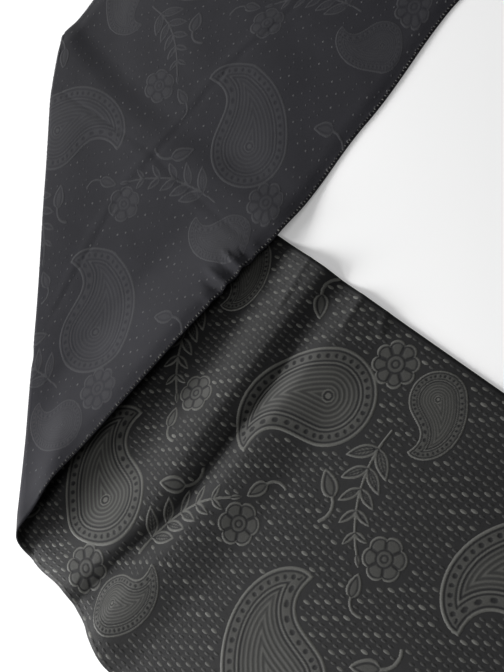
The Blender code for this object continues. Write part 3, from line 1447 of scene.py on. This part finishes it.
@dataclass(frozen=True)
class DashWeave:
    """The small floats of yarn that fill the ground between the figures."""

    shape: YarnFloat
    along_pitch: float = 6.0 * MM
    across_pitch: float = 5.3 * MM
    line_pitch: float = 19.0 * MM
    line_breadth: float = 3.2 * MM
    line_step: float = -8.0 / 5.3
    line_gain: float = 0.12
    line_wander: float = 0.25
    line_low: float = 0.45
    tone_low: float = 0.46
    tone_span: float = 0.34
    tone_noise: float = 0.06
    unseen_below: float = 0.0
    figure_margin: float = 2.6
    wander_waves: tuple[int, float] = (5, 0.22)
    length_stray: float = 0.22 * MM
    step_stray: float = 0.16 * MM
    cut_margin: float = 3.0 * MM

    def build(
        self, name: str, figures: WovenFigures, material: bpy.types.Material, seed: int
    ) -> bpy.types.Object:
        """Make every dash of one side as one mesh.

        Args:
            name: The object's name.
            figures: The figures of that side, which the dashes keep clear of.
            material: The yarn that they are woven in.
            seed: The seed of their unevenness.

        Returns:
            The object.
        """
        lattice = figures.lattice
        chance = np.random.default_rng(seed)
        margin = self.cut_margin
        first = np.arange(lattice.length[0] + margin, lattice.length[-1] - margin, self.along_pitch)
        half = figures.grid.shape.width / 2.0
        second = np.arange(-half + margin, half - 0.7 * margin, self.across_pitch)
        length, step = (values.ravel() for values in np.meshgrid(first, second, indexing="ij"))
        phase = (length - step * self.line_step) / self.line_pitch
        phase = phase + self.line_wander * ripple(length, step, *self.wander_waves, seed)
        off = np.abs((phase + 0.5) % 1.0 - 0.5) * self.line_pitch
        bright = np.exp(-((off / self.line_breadth) ** 2))
        bright = bright * chance.uniform(self.line_low, 1.0, len(length))
        bright = np.clip(bright + chance.normal(0.0, self.tone_noise, len(length)), 0.0, 1.0)
        length = length + chance.normal(0.0, self.length_stray, len(length))
        step = step + chance.normal(0.0, self.step_stray, len(length))
        clear = lattice.nearest(figures.pattern.depth, length, step) < -self.figure_margin
        clear &= lattice.nearest(figures.seen, length, step) & (bright >= self.unseen_below)
        places = np.stack([length, step], -1)[clear]
        growth = 1.0 + self.line_gain * bright[clear]
        tone = self.tone_low + self.tone_span * bright[clear]
        return self.shape.raise_all(name, figures, places, growth, tone, material)


@dataclass(frozen=True)
class SelvedgeLoops:
    """The row of light loops along the flap's free edge, from a start along the length."""

    shape: YarnFloat
    pitch: float = 3.3 * MM
    inset: float = 1.5 * MM
    start: float = 0.36
    cut_margin: float = 4.0 * MM
    length_stray: float = 0.35 * MM
    step_stray: float = 0.15 * MM
    growth: tuple[float, float] = (0.7, 1.15)
    tones: tuple[float, float] = (0.45, 0.80)

    def build(
        self, name: str, figures: WovenFigures, material: bpy.types.Material, seed: int
    ) -> bpy.types.Object:
        """Make the loops as one mesh.

        Args:
            name: The object's name.
            figures: The figures of that side.
            material: The yarn of the loops.
            seed: The seed of their unevenness.

        Returns:
            The object.
        """
        chance = np.random.default_rng(seed)
        length = np.arange(self.start, figures.lattice.length[-1] - self.cut_margin, self.pitch)
        length = length + chance.normal(0.0, self.length_stray, len(length))
        edge = self.inset - figures.grid.shape.width / 2.0
        step = edge + chance.normal(0.0, self.step_stray, len(length))
        seen = figures.lattice.nearest(figures.seen, length, step)
        places = np.stack([length, step], -1)[seen]
        growth = chance.uniform(*self.growth, len(places))
        tone = chance.uniform(*self.tones, len(places))
        return self.shape.raise_all(name, figures, places, growth, tone, material)


FACE_RELIEF = Relief(
    Side.FACE, start=0.0, end=0.43, step=0.75 * MM, height=1.0, tone_low=0.0, tone_span=1.0
)
BACK_RELIEF = Relief(
    Side.BACK, start=0.44, end=1.1, step=0.95 * MM, height=0.5, tone_low=0.2, tone_span=0.7
)
FACE_DASHES = DashWeave(
    YarnFloat(5.4 * MM, 2.6 * MM, 0.20 * MM, radians(-8.0)),
    along_pitch=6.1 * MM,
    across_pitch=4.95 * MM,
    line_pitch=18.4 * MM,
    line_step=-6.4 / 4.8,
    line_gain=0.32,
    line_wander=0.12,
    line_low=0.65,
    tone_low=0.42,
    tone_span=0.46,
)
BACK_DASHES = DashWeave(
    YarnFloat(2.4 * MM, 2.0 * MM, 0.16 * MM, 0.0, 6),
    line_gain=0.2,
    tone_low=0.56,
    tone_span=0.52,
    unseen_below=0.22,
)
SELVEDGE = SelvedgeLoops(YarnFloat(1.5 * MM, 3.0 * MM, 0.45 * MM, radians(14.0), 6))


@dataclass
class Studio:
    """The pale table, the soft lights and the camera of the photograph."""

    footprint_middle: tuple[float, float]
    focal_pixels: float = 1000.0
    picture_height: int = 672
    sensor_width: float = 36.0
    down_angle: float = radians(59.5)
    roll: float = radians(51.8)
    camera_place: tuple[float, float, float] = (0.0015, -0.4164, 0.70686)
    table_reach: float = 6.0
    table_height: float = -0.0002
    table_colour: tuple[float, ...] = (0.86, 0.86, 0.86, 1.0)
    table_glow: float = 0.22
    air_light: float = 0.12

    def camera(self) -> None:
        """Set the camera where the photograph was taken."""
        data = bpy.data.cameras.new("photo_camera")
        data.sensor_width = self.sensor_width
        data.lens = self.focal_pixels / self.picture_height * self.sensor_width
        data.clip_start = 0.01
        right = np.array([1.0, 0.0, 0.0])
        ahead = np.array([0.0, cos(self.down_angle), -sin(self.down_angle)])
        down = np.array([0.0, -sin(self.down_angle), -cos(self.down_angle)])
        across = cos(self.roll) * right + sin(self.roll) * down
        up = sin(self.roll) * right - cos(self.roll) * down
        matrix = np.eye(4)
        place = np.subtract(self.camera_place, (*self.footprint_middle, 0.0))
        matrix[:3] = np.stack([across, up, -ahead, place], -1)
        camera = bpy.data.objects.new("photo_camera", data)
        camera.matrix_world = Matrix(matrix.tolist())
        bpy.context.scene.collection.objects.link(camera)
        bpy.context.scene.camera = camera

    def light(self, name: str, place: tuple, aim: tuple, size: float, power: float) -> None:
        """Hang one soft square light.

        Args:
            name: The light's name.
            place: Where it hangs.
            aim: The point that it faces.
            size: The length of its side.
            power: Its power in watts.
        """
        data = bpy.data.lights.new(name, "AREA")
        data.shape = "SQUARE"
        data.size = size
        data.energy = power
        lamp = bpy.data.objects.new(name, data)
        stand = Matrix.Translation(place)
        way = stand.translation - Matrix.Translation(aim).translation
        lamp.matrix_world = stand @ way.to_track_quat("Z", "Y").to_matrix().to_4x4()
        bpy.context.scene.collection.objects.link(lamp)

    def floor(self) -> None:
        """Lay the pale table under the cloth."""
        mesh = bpy.data.meshes.new("table_top")
        reach = self.table_reach
        corners = [(-reach, -reach), (reach, -reach), (reach, reach), (-reach, reach)]
        mesh.from_pydata([(x, y, self.table_height) for x, y in corners], [], [(0, 1, 2, 3)])
        table = bpy.data.objects.new("table_top", mesh)
        finish = Finish(
            "pale_table",
            {
                "Base Color": self.table_colour,
                "Roughness": 0.9,
                "Specular IOR Level": 0.1,
                "Emission Color": WHITE,
                "Emission Strength": self.table_glow,
            },
        )
        mesh.materials.append(finish.material)
        bpy.context.scene.collection.objects.link(table)

    def build(self) -> None:
        """Set up the table, the lights and the camera."""
        self.floor()
        self.camera()
        self.light("left_window", (-1.50, 0.95, 0.62), (-0.1, -0.05, 0.0), 0.9, 43.0)
        self.light("far_window", (0.12, 1.90, 0.85), (-0.1, -0.05, 0.0), 0.7, 24.0)
        self.light("near_lamp", (-0.75, -0.10, 0.60), (-0.25, -0.14, 0.0), 0.3, 2.8)
        world = bpy.data.worlds.new("studio_air")
        world.use_nodes = True
        background = world.node_tree.nodes["Background"]
        background.inputs["Color"].default_value = WHITE
        background.inputs["Strength"].default_value = self.air_light
        scene = bpy.context.scene
        scene.world = world
        scene.view_settings.view_transform = "Standard"


def main() -> None:
    """Build the cloth piece by piece."""
    logging.basicConfig(level=logging.INFO)
    shape = ClothShape()
    grid = ClothGrid(shape)
    LOG.info("sheet grid %s, %.3f m long", grid.length.shape, grid.length[-1].mean())
    sheet = BaseSheet(grid).build()
    length = float(grid.length[-1].mean())
    figures = HalfDrop().figures(length)
    face = WovenFigures("face_figures", grid, FACE_RELIEF, figures)
    back = WovenFigures("back_figures", grid, BACK_RELIEF, figures)
    face_yarn, back_yarn = sheet.data.materials
    pieces = [
        face.build(face_yarn),
        back.build(back_yarn),
        FACE_DASHES.build("face_dashes", face, face_yarn, 3),
        BACK_DASHES.build("back_dashes", back, back_yarn, 5),
        SELVEDGE.build("selvedge_loops", back, face_yarn, 8),
    ]
    for piece in (sheet, *pieces):
        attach(piece, "root")
    Studio(shape.footprint_middle).build()


if __name__ == "__main__":
    main()
